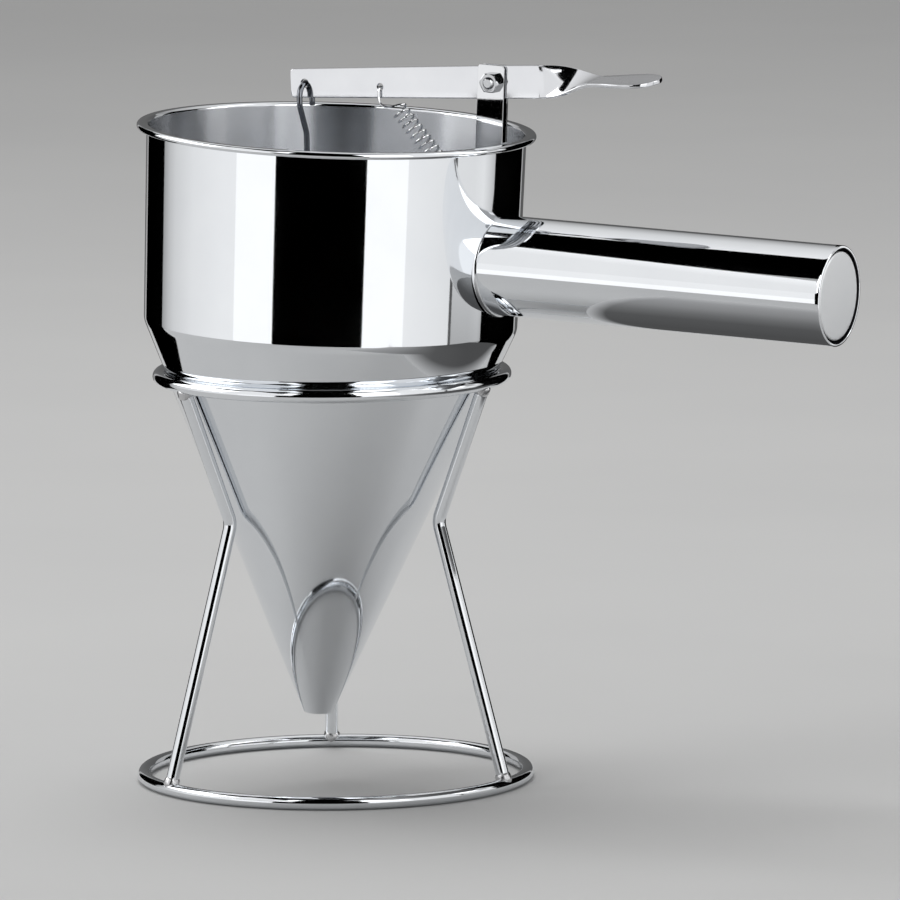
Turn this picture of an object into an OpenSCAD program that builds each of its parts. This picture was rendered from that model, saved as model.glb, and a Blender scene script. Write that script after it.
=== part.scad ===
// Funnel dispenser for pancake batter, standing in its wire stand.
// Origin: centre of the base ring, on the table. +X runs under the handle, +Z is up.
// The funnel leans towards its handle in the stand's ring, so it is drawn upright and then leant.

/* [Funnel] */
// Outside diameter over the rolled rim
rim_d = 150; // [130:1:165]
// Thickness of the rolled edge of the rim
rim_bead_d = 2.4; // [2:0.1:3]
// How far the rim's outer edge stands out from the wall
rim_overhang = 3.7; // [3:0.1:6]
// How much smaller the wall's radius is at the corner than at the rim
wall_taper = 1.1; // [0:0.1:4]
// Height from the corner, where wall and cone lines meet, to the top of the rim
bowl_h = 74.5; // [66:0.5:90]
// Angle between the cone and its axis
cone_half_angle = 23.6; // [23:0.1:26]
// Outside radius of the bend between wall and cone
corner_r = 8; // [4:0.5:12]
// Thickness of the sheet of bowl and cone
sheet = 0.8; // [0.6:0.1:1.2]
// Height of the corner above the seam between bowl and cone
seam_drop = 20; // [12:0.5:30]
// Inside diameter of the outlet
outlet_d = 9; // [7:0.1:10.5]
// Lean of the funnel towards its handle, in degrees
funnel_lean = 2.6; // [0:0.1:3]

/* [Handle] */
// Outside diameter of the handle tube
handle_d = 37.5; // [30:0.5:42]
// Wall of the handle tube
handle_wall = 1; // [0.8:0.1:1.6]
// Length of the handle from the bowl's wall to its free end
handle_len = 137.5; // [110:0.5:170]
// Distance of the handle's axis below the top of the rim, at the bowl's axis
handle_drop = 46.5; // [38:0.5:52]
// Rise of the handle towards its free end, in degrees
handle_rise = 0.5; // [0:0.1:4]
// Height of the fillet weld round the handle's root
weld_size = 1.2; // [0.8:0.1:2]
// Length of the fillet weld along the handle
weld_len = 3; // [2:0.1:5]
// Depth that the tube's end is turned down under the weld
weld_prep = 0.4; // [0.2:0.05:0.5]
// Depth of the cap's skirt inside the tube
cap_depth = 8; // [5:0.5:15]
// Thickness of the cap's sheet
cap_sheet = 0.8; // [0.6:0.1:1.2]
// Radius of the cap's rounded edge
cap_edge_r = 1.6; // [1:0.1:2.4]

/* [Stand] */
// Diameter of the stand's wire
wire_d = 5; // [4:0.1:6]
// Diameter of the base ring, to the middle of the wire
base_ring_d = 145; // [130:1:170]
// Diameter of the top ring, to the middle of the wire
top_ring_d = 130; // [122:0.5:134]
// Height of the top ring above the table, to the middle of the wire
top_ring_h = 154; // [150:0.5:175]
// Depth of the legs' waist below the top ring
waist_drop = 53; // [40:0.5:60]
// Room between the waist and the cone, on the side where it is least
waist_room = 0.7; // [0.5:0.1:5]
// Radius of the bend at the waist, to the middle of the wire
waist_bend_r = 9; // [6:0.5:20]
// Turn of the stand under the funnel, in degrees
stand_turn = -2; // [-20:1:20]
// Radius of the weld beads where legs meet rings
bead_r = 3.4; // [3.2:0.1:4]

/* [Bracket and pivot] */
// Thickness of the bracket's sheet
bracket_sheet = 1; // [0.8:0.1:1.5]
// Width of the bracket's ears, front to back
ear_w = 11; // [10:0.5:14]
// Distance of the pivot from the back of the bracket
pivot_back = 4.9; // [4.5:0.1:5.5]
// Height of the pivot above the top of the rim
pivot_rise = 22.5; // [18:0.5:28]
// Height of the ears above the pivot
ear_top = 6.5; // [5:0.1:8]
// Distance of the bracket's foot below the top of the rim
foot_drop = 34; // [30:0.5:40]
// Radius of the ears' top corners
ear_corner_r = 1.5; // [0.5:0.1:3]
// Diameter of the pivot bolt
bolt_d = 4; // [3:0.5:4]
// Width of the bolt's head and of the nut, across flats
hex_af = 7; // [7:0.1:8]
// Height of the bolt's head
head_h = 2.8; // [2:0.1:3.5]
// Height of the nut
nut_h = 3.2; // [2.4:0.1:4]
// Length of bolt that shows beyond the nut
bolt_end = 1; // [0.5:0.1:3]

/* [Lever] */
// Thickness of the lever's strip
lever_t = 1.5; // [1.2:0.1:2]
// Height of the lever at the pivot
lever_h = 12.4; // [12:0.1:13]
// Height of the lever at its hook end
lever_end_h = 10.9; // [9:0.1:12]
// Distance from the pivot to the plunger's hole
hook_arm = 79; // [72:0.5:84]
// Distance from the plunger's hole to the end of the lever
lever_nose = 5.8; // [5:0.1:10]
// Distance from the pivot to the spring's hole
spring_arm = 47.4; // [42:0.1:52]
// Diameter of the plunger's hole
hook_hole_d = 3.4; // [3:0.1:4]
// Diameter of the spring's hole
spring_hole_d = 2.8; // [2.4:0.1:3.4]
// Depth of the spring's hole below the middle of the lever
spring_hole_low = 1.5; // [0:0.1:2]
// Distance from the pivot to the start of the twist
tail_len = 20.6; // [14:0.1:28]
// Length of the quarter twist
twist_len = 21; // [16:0.5:28]
// Length of the thumb pad beyond the twist
pad_len = 26.5; // [20:0.5:40]
// Width of the thumb pad
pad_w = 18; // [15:0.5:24]
// Rise of the lever towards the thumb pad at rest, in degrees
lever_pitch = 5.1; // [4:0.1:6.5]

/* [Plunger] */
// Diameter of the plunger's rod
rod_d = 2.2; // [1.8:0.1:2.5]
// Width of the rod's hook, to the middle of the wire
hook_w = 10.4; // [9:0.1:12]
// Length of the hook's open leg below its top
hook_leg = 9; // [8:0.5:16]
// Length of the hook's other leg before it slants back to the middle
hook_neck = 8; // [7.5:0.5:12]
// Height of the slanted stretch
slant_h = 11; // [9:0.5:28]
// Radius of the two slight bends of the slanted stretch
slant_bend_r = 4; // [3:0.5:5]
// Diameter of the ball that closes the outlet
plug_d = 14; // [13:0.1:15]

/* [Spring] */
// Wire of the return spring
spring_wire_d = 0.9; // [0.7:0.05:1.1]
// Outside diameter of the spring's coil
spring_d = 6.5; // [5.5:0.1:7.5]
// Number of turns of the coil
spring_turns = 17; // [12:1:20]
// Length of the long hook between the lever and the coil
upper_hook = 11; // [9:0.5:14]
// Length of the hook between the coil and the bracket
lower_hook = 8.5; // [8:0.5:12]

/* [Clearances] */
// Gap between the cone and the stand's ring
seat_gap = 0.3; // [0.2:0.05:0.5]
// Gap between the ball and the cone at rest
plug_gap = 0.2; // [0.1:0.05:0.3]
// Room between the spring's hooks and the plates that they pass
hook_room = 0.3; // [0.2:0.05:0.5]
// Gap between the lever and each ear
ear_gap = 0.35; // [0.2:0.05:0.5]
// Gap round the bolt in the ears, and round pressed pieces
fit_gap = 0.05; // [0.03:0.01:0.08]
// Gap round the bolt in the lever, where it turns
pivot_gap = 0.07; // [0.04:0.01:0.1]
// Depth of the web's top edge below the lever, room for the lever's travel
web_gap = 1.5; // [1.4:0.1:3]

/* [Hidden] */
$fn = 96;

polished = [0.80, 0.82, 0.84];
satin = [0.70, 0.71, 0.72];
spring_steel = [0.62, 0.63, 0.64];

// Steps of an arc in an outline
arc_steps = 8;
// Slices of the lever's twist
twist_slices = 18;
// Rings of the spring's wire on each turn, and its sides
coil_steps = 12;
wire_sides = 6;
// Half turn of the spring's lower hook, in degrees
hook_span = 80;
// Surplus that carries a cut clear of a face
over = 1;
// Depth that the legs' ends bite into the rings
leg_bite = 0.2;
// Wire bends are this much fatter than their straights, which run into them by the lap
bend_swell = 0.02;
bend_lap = 0.2;

// Funnel, drawn upright with the cone's outer point at its origin.
// Section points are [radius, height].
cone_tan = tan(cone_half_angle);
cone_up = [sin(cone_half_angle), cos(cone_half_angle)];
cone_out = [cos(cone_half_angle), -sin(cone_half_angle)];
wall_top_r = rim_d / 2 - rim_overhang;
wall_foot_r = wall_top_r - wall_taper;
corner = [wall_foot_r, wall_foot_r / cone_tan];
rim_top = corner[1] + bowl_h;
flare_r = rim_overhang - rim_bead_d / 2;
flare_start = [wall_top_r, rim_top - flare_r - sheet];
wall_angle = atan2(wall_taper, flare_start[1] - corner[1]);
wall_out = [cos(wall_angle), -sin(wall_angle)];
corner_centre = corner - corner_r * (cone_out + wall_out) / (1 + cone_out * wall_out);
flare_centre = flare_start + flare_r * wall_out;
rim_bead = [flare_centre[0], flare_centre[1] + flare_r + sheet - rim_bead_d / 2];
seam_s = (corner[1] - seam_drop) / cos(cone_half_angle);
outlet_z = (outlet_d / 2 + sheet / cos(cone_half_angle)) / cone_tan;

// Height of the cone's point, and its place, for which the leant cone touches the ring all round
seat_off = wire_d / 2 + seat_gap;
steep = cone_half_angle + funnel_lean;
shallow = cone_half_angle - funnel_lean;
apex_drop = (top_ring_d - seat_off / cos(steep) - seat_off / cos(shallow)) / (tan(steep) + tan(shallow));
apex_x = top_ring_d / 2 - apex_drop * tan(steep) - seat_off / cos(steep);
apex_z = top_ring_h - apex_drop;

handle_z = rim_top - handle_drop;

// Bracket and pivot, in the funnel's frame
foot_z = rim_top - foot_drop;
bracket_w = lever_t + 2 * ear_gap + 2 * bracket_sheet;
wall_in_at_foot = corner[0] + (foot_z - corner[1]) * tan(wall_angle) - sheet / cos(wall_angle);
bracket_x = sqrt(pow(wall_in_at_foot, 2) - pow(bracket_w / 2, 2)) - fit_gap;
pivot = [bracket_x - pivot_back, 0, rim_top + pivot_rise];
web_top = pivot[2] - lever_h / 2 - web_gap;
anchor_hole_d = spring_hole_d + 0.2;
anchor = [bracket_x - ear_w + anchor_hole_d, 0, foot_z + anchor_hole_d * 2];
head_y = bracket_w / 2;
bolt_len = bracket_w + nut_h + bolt_end;

// Lever, drawn with the pivot at its origin and its strip along X
lever_nose_x = -hook_arm - lever_nose;
twist_end = tail_len + twist_len;
spring_hole = [-spring_arm, 0, -spring_hole_low];

// Places on the resting lever, in the funnel's frame
function on_lever(p) = pivot + [
    p[0] * cos(lever_pitch) - p[2] * sin(lever_pitch),
    p[1],
    p[0] * sin(lever_pitch) + p[2] * cos(lever_pitch)];
hook_point = on_lever([-hook_arm, 0, 0]);
spring_top = on_lever(spring_hole);

// Plunger: the ball's centre, and the rod from the hook's top to it
plug_z = (plug_d / 2 + plug_gap + sheet) / sin(cone_half_angle);
rod_lean = atan2(hook_point[0], hook_point[2] - plug_z);
rod_len = norm([hook_point[0], hook_point[2] - plug_z]);
rod_end_depth = plug_d / 4;

// Spring: axis, and a side direction that points up from it
spring_run = anchor - spring_top;
spring_axis = spring_run / norm(spring_run);
spring_side = [-spring_axis[2], 0, spring_axis[0]];
coil_r = (spring_d - spring_wire_d) / 2;
coil_len = norm(spring_run) - upper_hook - lower_hook;
// Reach of each hook to either side, and its depth
upper_hook_r = lever_t / 2 + spring_wire_d + hook_room;
lower_hook_r = bracket_w / 2 + spring_wire_d + hook_room;

// Points on an arc about c, from angle a to angle b
function arc(c, r, a, b) = [for (i = [0:arc_steps])
    let (t = a + (b - a) * i / arc_steps) c + r * [cos(t), sin(t)]];

// Corner p of an outline rounded by radius r, between its neighbours before and after
function rounded_corner(before, p, after, r) =
    let (
        u = (before - p) / norm(before - p),
        v = (after - p) / norm(after - p),
        c = p + (u + v) * r / sqrt(1 - pow(u * v, 2)),
        a = atan2(p[1] + u[1] * (c - p) * u - c[1], p[0] + u[0] * (c - p) * u - c[0]),
        b = atan2(p[1] + v[1] * (c - p) * v - c[1], p[0] + v[0] * (c - p) * v - c[0]),
        turn = b - a > 180 ? b - 360 : (b - a < -180 ? b + 360 : b))
    arc(c, r, a, turn);

// Outline with every corner rounded by its own radius, 0 for a sharp one
function rounded_outline(points, radii) = [for (i = [0:len(points) - 1])
    each radii[i] == 0 ? [points[i]] : rounded_corner(
        points[(i + len(points) - 1) % len(points)], points[i], points[(i + 1) % len(points)], radii[i])];

// Line of the bowl's sheet from the seam to the rim, at depth k below its outer face
function bowl_line(k) = concat(
    [seam_s * cone_up - k * cone_out],
    arc(corner_centre, corner_r - k, -cone_half_angle, -wall_angle),
    arc(flare_centre, flare_r + k, 180 - wall_angle, 90));

function reversed(list) = [for (i = [len(list) - 1:-1:0]) list[i]];

module in_funnel() {
    translate([apex_x, 0, apex_z])
        rotate([0, funnel_lean, 0])
            children();
}

module on_pivot() {
    translate(pivot)
        rotate([0, -lever_pitch, 0])
            children();
}

// Round bar along a flat path in the XY plane, with a bend of its own radius at each inner corner
module bent_wire(path, bends, d) {
    last = len(path) - 1;
    way = [for (i = [0:last - 1]) (path[i + 1] - path[i]) / norm(path[i + 1] - path[i])];
    turns = [for (i = [1:1:last - 1])
        atan2(way[i - 1][0] * way[i][1] - way[i - 1][1] * way[i][0], way[i - 1] * way[i])];
    cuts = concat([0], [for (i = [0:1:last - 2]) bends[i] * tan(abs(turns[i]) / 2)], [0]);
    for (i = [0:last - 1]) {
        first = cuts[i] - (i > 0 ? bend_lap : 0);
        run = norm(path[i + 1] - path[i]) - first - cuts[i + 1] + (i < last - 1 ? bend_lap : 0);
        start = path[i] + way[i] * first;
        if (run > 0)
            translate([start[0], start[1], 0])
                rotate([0, 90, atan2(way[i][1], way[i][0])])
                    cylinder(h = run, d = d);
    }
    for (i = [1:1:last - 1]) {
        turn = turns[i - 1];
        side = turn > 0 ? 1 : -1;
        start = path[i] - way[i - 1] * cuts[i];
        centre = start + bends[i - 1] * side * [-way[i - 1][1], way[i - 1][0]];
        from = atan2(start[1] - centre[1], start[0] - centre[0]);
        translate([centre[0], centre[1], 0])
            rotate([0, 0, turn > 0 ? from : from + turn])
                rotate_extrude(angle = abs(turn))
                    translate([bends[i - 1], 0])
                        circle(d = d + bend_swell);
    }
}

// ---- Stand ----

module ring(d, h) {
    translate([0, 0, h])
        rotate_extrude()
            translate([d / 2, 0])
                circle(d = wire_d);
}

module both_rings() {
    ring(base_ring_d, wire_d / 2);
    ring(top_ring_d, top_ring_h);
}

// Middle line of a leg, as [radius, height] from the base ring to the top ring
leg_foot = [base_ring_d / 2, wire_d / 2];
leg_waist = [
    top_ring_d / 2 - seat_off / cos(shallow) - waist_drop * tan(shallow) + wire_d / 2 + waist_room,
    top_ring_h - waist_drop];
leg_top = [top_ring_d / 2, top_ring_h];
leg_foot_way = (leg_waist - leg_foot) / norm(leg_waist - leg_foot);
leg_top_way = (leg_top - leg_waist) / norm(leg_top - leg_waist);
// The legs are butted onto the rings: they reach this close to the middle of a ring's wire
leg_stop = wire_d / 2 - leg_bite;

module at_leg(i) {
    rotate([0, 0, stand_turn + 120 * i])
        children();
}

module leg_bar() {
    rotate([90, 0, 0])
        bent_wire(
            [leg_foot + leg_foot_way * leg_stop, leg_waist, leg_top - leg_top_way * leg_stop],
            [waist_bend_r], wire_d);
}

module leg(i) {
    color(polished)
        at_leg(i)
            difference() {
                leg_bar();
                both_rings();
            }
}

// Beads where the three legs meet a ring, each a ball round the leg's end
module weld_beads(joint, way) {
    for (i = [0:2])
        at_leg(i)
            difference() {
                rotate([90, 0, 0])
                    translate(joint + way * wire_d / 2)
                        sphere(r = bead_r);
                leg_bar();
                both_rings();
            }
}

module base_ring() {
    color(polished) ring(base_ring_d, wire_d / 2);
}

module top_ring() {
    color(polished) ring(top_ring_d, top_ring_h);
}

// The beads under the top ring are dressed clear of the funnel's seat
module ring_welds() {
    color(satin)
        difference() {
            weld_beads(leg_top, -leg_top_way);
            in_funnel()
                translate([0, 0, -seat_gap / sin(cone_half_angle)])
                    cylinder(h = corner[1], r1 = 0, r2 = corner[0]);
        }
}

module foot_welds() {
    color(satin) weld_beads(leg_foot, leg_foot_way);
}

// ---- Funnel ----

// Solid within the bowl's outer face
module bowl_form() {
    line = bowl_line(0);
    rotate_extrude()
        polygon(concat([[0, line[0][1]]], line, [[0, line[len(line) - 1][1]]]));
}

module bowl() {
    color(polished)
        in_funnel() {
            rotate_extrude()
                polygon(concat(bowl_line(0), reversed(bowl_line(sheet))));
            rotate_extrude()
                translate(rim_bead)
                    circle(d = rim_bead_d);
        }
}

module cone() {
    seam = seam_s * cone_up;
    color(polished)
        in_funnel()
            rotate_extrude()
                polygon([
                    seam,
                    seam - sheet * cone_out,
                    [outlet_d / 2, outlet_z],
                    [outlet_z * cone_tan, outlet_z]]);
}

module on_handle() {
    translate([0, 0, handle_z])
        rotate([0, 90 - handle_rise, 0])
            children();
}

handle_reach = wall_top_r + handle_len;
grip_start = wall_top_r + weld_len;

// Outside of the tube, turned down under its weld and reaching well inside the wall
module handle_form() {
    on_handle() {
        translate([0, 0, grip_start])
            cylinder(h = handle_reach - grip_start, d = handle_d);
        translate([0, 0, wall_foot_r / 2])
            cylinder(h = handle_reach - wall_foot_r / 2, d = handle_d - 2 * weld_prep);
    }
}

module handle_tube() {
    color(polished)
        in_funnel()
            difference() {
                handle_form();
                on_handle()
                    cylinder(h = handle_reach + over, d = handle_d - 2 * handle_wall);
                bowl_form();
            }
}

module handle_weld() {
    taper = weld_size / weld_len;
    color(satin)
        in_funnel()
            difference() {
                on_handle()
                    translate([0, 0, grip_start - wall_foot_r / 2])
                        cylinder(
                            h = wall_foot_r / 2,
                            r1 = handle_d / 2 + taper * wall_foot_r / 2,
                            r2 = handle_d / 2);
                bowl_form();
                handle_form();
            }
}

module handle_cap() {
    r = handle_d / 2 - handle_wall - fit_gap;
    color(satin)
        in_funnel()
            on_handle()
                translate([0, 0, handle_reach])
                    rotate_extrude()
                        polygon(concat(
                            [[0, 0]],
                            reversed(arc([r - cap_edge_r, -cap_edge_r], cap_edge_r, 0, 90)),
                            [[r, -cap_depth], [r - cap_sheet, -cap_depth]],
                            arc([r - cap_edge_r, -cap_edge_r], cap_edge_r - cap_sheet, 0, 90),
                            [[0, -cap_sheet]]));
}

// ---- Bracket and pivot ----

// Flat plate in the XZ plane, centred on Y at y
module side_plate(points, radii, t, y) {
    translate([0, y + t / 2, 0])
        rotate([90, 0, 0])
            linear_extrude(t)
                polygon(rounded_outline(points, radii));
}

module across(p, d, length) {
    translate([p[0], -length / 2, p[2]])
        rotate([-90, 0, 0])
            cylinder(h = length, d = d);
}

module lever_bracket() {
    front = bracket_x - ear_w;
    top = pivot[2] + ear_top;
    color(polished)
        in_funnel()
            difference() {
                union() {
                    for (side = [-1, 1])
                        side_plate(
                            [[front, foot_z], [bracket_x, foot_z], [bracket_x, top], [front, top]],
                            [ear_corner_r, 0, ear_corner_r, ear_corner_r],
                            bracket_sheet, side * (bracket_w - bracket_sheet) / 2);
                    translate([bracket_x - bracket_sheet, -bracket_w / 2, foot_z])
                        cube([bracket_sheet, bracket_w, web_top - foot_z]);
                }
                across(pivot, bolt_d + 2 * fit_gap, bracket_w + 2 * over);
                across(anchor, anchor_hole_d, bracket_w + 2 * over);
            }
}

// Hexagon with chamfered corners at its outer end, its inner face at z = 0
module hexagon(h) {
    corner_d = hex_af / cos(30);
    intersection() {
        rotate([0, 0, 30])
            cylinder(h = h, d = corner_d, $fn = 6);
        union() {
            cylinder(h = h - (corner_d - hex_af) / 2, d = corner_d);
            translate([0, 0, h - (corner_d - hex_af) / 2])
                cylinder(h = (corner_d - hex_af) / 2, d1 = corner_d, d2 = hex_af);
        }
    }
}

module pivot_bolt() {
    color(polished)
        in_funnel()
            translate(pivot) {
                translate([0, head_y, 0])
                    rotate([-90, 0, 0])
                        hexagon(head_h);
                translate([0, head_y, 0])
                    rotate([90, 0, 0])
                        cylinder(h = bolt_len, d = bolt_d);
            }
}

module pivot_nut() {
    color(polished)
        in_funnel()
            translate([pivot[0], -bracket_w / 2, pivot[2]])
                rotate([90, 0, 0])
                    difference() {
                        hexagon(nut_h);
                        translate([0, 0, -over])
                            cylinder(h = nut_h + 2 * over, d = bolt_d + 2 * fit_gap);
                    }
}

// ---- Lever ----

module lever() {
    pad_x = twist_end + pad_len - pad_w / 2;
    flank = pad_len / 4;
    color(polished)
        in_funnel()
            on_pivot()
                difference() {
                    union() {
                        side_plate(
                            [[lever_nose_x, -lever_end_h / 2], [0, -lever_h / 2], [tail_len, -lever_h / 2],
                                [tail_len, lever_h / 2], [0, lever_h / 2], [lever_nose_x, lever_end_h / 2]],
                            [1.2, 0, 0, 0, 0, 1.2], lever_t, 0);
                        translate([tail_len, 0, 0])
                            rotate([0, 90, 0])
                                linear_extrude(twist_len, twist = 90, slices = twist_slices, segments = 4)
                                    square([lever_h, lever_t], center = true);
                        translate([0, 0, -lever_t / 2])
                            linear_extrude(lever_t)
                                polygon(concat(
                                    [[twist_end, lever_h / 2], [twist_end, -lever_h / 2]],
                                    [[twist_end + flank, -pad_w / 2]],
                                    arc([pad_x, 0], pad_w / 2, -90, 90),
                                    [[twist_end + flank, pad_w / 2]]));
                    }
                    across([0, 0, 0], bolt_d + 2 * pivot_gap, lever_t + 2 * over);
                    across([-hook_arm, 0, 0], hook_hole_d, lever_t + 2 * over);
                    across(spring_hole, spring_hole_d, lever_t + 2 * over);
                }
}

// ---- Plunger ----

module plunger_rod() {
    half = hook_w / 2;
    color(polished)
        in_funnel()
            translate(hook_point)
                rotate([0, rod_lean, 0])
                    rotate([90, 0, 90])
                        bent_wire(
                            [[half, -hook_leg], [half, 0], [-half, 0], [-half, -hook_neck],
                                [0, -hook_neck - slant_h], [0, rod_end_depth - rod_len]],
                            [half, half, slant_bend_r, slant_bend_r], rod_d);
}

module plunger_plug() {
    color(polished)
        in_funnel()
            translate([0, 0, plug_z])
                difference() {
                    sphere(d = plug_d);
                    rotate([0, rod_lean, 0])
                        translate([0, 0, rod_end_depth])
                            cylinder(h = plug_d, d = rod_d + 2 * fit_gap);
                }
}

// ---- Return spring ----

function bezier(p, t) = pow(1 - t, 3) * p[0] + 3 * pow(1 - t, 2) * t * p[1]
    + 3 * (1 - t) * pow(t, 2) * p[2] + pow(t, 3) * p[3];
function bezier_run(p, n) = [for (i = [1:n - 1]) bezier(p, i / n)];

// Half turn of wire through a hole that runs along Y, from one side to the other
function hook_turn(hole, behind, reach, depth, from) = [for (i = [0:arc_steps])
    let (t = from * (1 - 2 * i / arc_steps))
    hole + behind * depth * (1 - cos(t)) + [0, reach * sin(t), 0]];

coil_start = spring_top + spring_axis * upper_hook;
coil = [for (i = [0:spring_turns * coil_steps])
    let (t = 360 * i / coil_steps)
    coil_start + spring_axis * coil_len * i / (spring_turns * coil_steps)
        + coil_r * (cos(t) * spring_side + sin(t) * [0, 1, 0])];
down = [0, 0, -1];
upper_turn = hook_turn(spring_top, down, upper_hook_r, upper_hook_r, 90);
lower_turn = hook_turn(anchor, -spring_axis, lower_hook_r, lower_hook_r / 2, hook_span);
first_coil = coil[0];
last_coil = coil[len(coil) - 1];
upper_last = upper_turn[arc_steps];
lower_first = lower_turn[0];
spring_path = concat(
    upper_turn,
    bezier_run([upper_last, upper_last + upper_hook * 0.8 * down,
        first_coil - [coil_r, coil_r, 0], first_coil], 9),
    coil,
    bezier_run([last_coil, last_coil + [0, coil_r / 2, 0],
        lower_first - lower_hook / 3 * spring_axis, lower_first], 6),
    lower_turn);

// Direction of a path at point i
function way_at(p, i) = let (v = p[min(i + 1, len(p) - 1)] - p[max(i - 1, 0)]) v / norm(v);
// Part of v that is square to the direction w, as a unit vector
function squared(v, w) = let (s = v - (v * w) * w) s / norm(s);
// A side direction at each point of a path, carried along it without twisting
function carried_sides(p) = [for (i = 0, s = squared([1, 0, 0.2], way_at(p, 0)); i < len(p);
    i = i + 1, s = squared(s, way_at(p, min(i, len(p) - 1)))) s];

// Wire of diameter d swept along a path
module swept_wire(p, d, sides) {
    along = carried_sides(p);
    rings = [for (i = [0:len(p) - 1])
        let (a = along[i], b = cross(way_at(p, i), a))
        each [for (k = [0:sides - 1])
            p[i] + d / 2 * (cos(360 * k / sides) * a + sin(360 * k / sides) * b)]];
    last = (len(p) - 1) * sides;
    walls = [for (i = [0:len(p) - 2], k = [0:sides - 1])
        let (a = i * sides + k, b = i * sides + (k + 1) % sides)
        each [[a, a + sides, b], [b, a + sides, b + sides]]];
    ends = concat(
        [[for (k = [0:sides - 1]) k]],
        [[for (k = [sides - 1:-1:0]) last + k]]);
    polyhedron(rings, concat(walls, ends));
}

module return_spring() {
    color(spring_steel)
        in_funnel()
            swept_wire(spring_path, spring_wire_d, wire_sides);
}

base_ring();
top_ring();
leg(0);  // leg_1
leg(1);  // leg_2
leg(2);  // leg_3
ring_welds();
foot_welds();
bowl();
cone();
handle_tube();
handle_weld();
handle_cap();
lever_bracket();
pivot_bolt();
pivot_nut();
return_spring();
lever();
plunger_rod();
plunger_plug();
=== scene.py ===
import math

import bmesh
import bpy
from mathutils import Matrix, Vector, noise


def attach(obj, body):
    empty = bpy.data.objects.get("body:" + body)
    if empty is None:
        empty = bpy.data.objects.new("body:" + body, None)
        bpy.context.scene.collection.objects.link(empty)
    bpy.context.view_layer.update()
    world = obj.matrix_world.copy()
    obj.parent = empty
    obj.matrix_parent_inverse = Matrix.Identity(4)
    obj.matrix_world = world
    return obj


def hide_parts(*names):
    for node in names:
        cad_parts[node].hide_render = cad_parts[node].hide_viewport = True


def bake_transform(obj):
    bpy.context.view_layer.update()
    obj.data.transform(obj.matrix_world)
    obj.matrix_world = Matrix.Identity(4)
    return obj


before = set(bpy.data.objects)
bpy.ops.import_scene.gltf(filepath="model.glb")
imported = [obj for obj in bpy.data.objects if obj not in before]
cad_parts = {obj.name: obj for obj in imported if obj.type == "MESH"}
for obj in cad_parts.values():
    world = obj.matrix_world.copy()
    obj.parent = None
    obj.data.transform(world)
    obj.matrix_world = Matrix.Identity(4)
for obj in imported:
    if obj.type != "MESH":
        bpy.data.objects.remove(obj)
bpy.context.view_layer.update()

# Pieces are drawn in millimetres, and mesh_of() scales them. The studio round them is in metres.
MM = 0.001


def polar(radius, degrees):
    """Flat point at this radius and angle."""
    a = math.radians(degrees)
    return radius * math.cos(a), radius * math.sin(a)


def turn(degrees, axis):
    return Matrix.Rotation(math.radians(degrees), 4, axis)


def shift(x, y, z):
    return Matrix.Translation((x, y, z))


def show(name, data):
    """New object in the scene."""
    obj = bpy.data.objects.new(name, data)
    bpy.context.scene.collection.objects.link(obj)
    return obj


# ---- Places ----

# The funnel leans in the stand. Its own frame has Z on its axis and the cone's point as origin.
CONE_POINT, FUNNEL_LEAN = (-7.712, 0, 12.572), 2.6
RIM_TOP = 235.181
PIVOT = Vector((65.044, 0, RIM_TOP + 22.5))
HANDLE_Z = RIM_TOP - 46.5
LEVER_PITCH, HANDLE_LIFT = 5.1, 0.5

STAND = Matrix.Identity(4)
FUNNEL = Matrix.Translation(CONE_POINT) @ turn(FUNNEL_LEAN, "Y")
BOLT = FUNNEL @ Matrix.Translation(PIVOT)
LEVER = BOLT @ turn(-LEVER_PITCH, "Y")
HANDLE = FUNNEL @ shift(0, 0, HANDLE_Z) @ turn(90 - HANDLE_LIFT, "Y")

# ---- Materials ----

EVEN = (1, 1, 1)
SMUDGE_SCALE, GRAIN_DEPTH = 45, 0.0001


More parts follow.
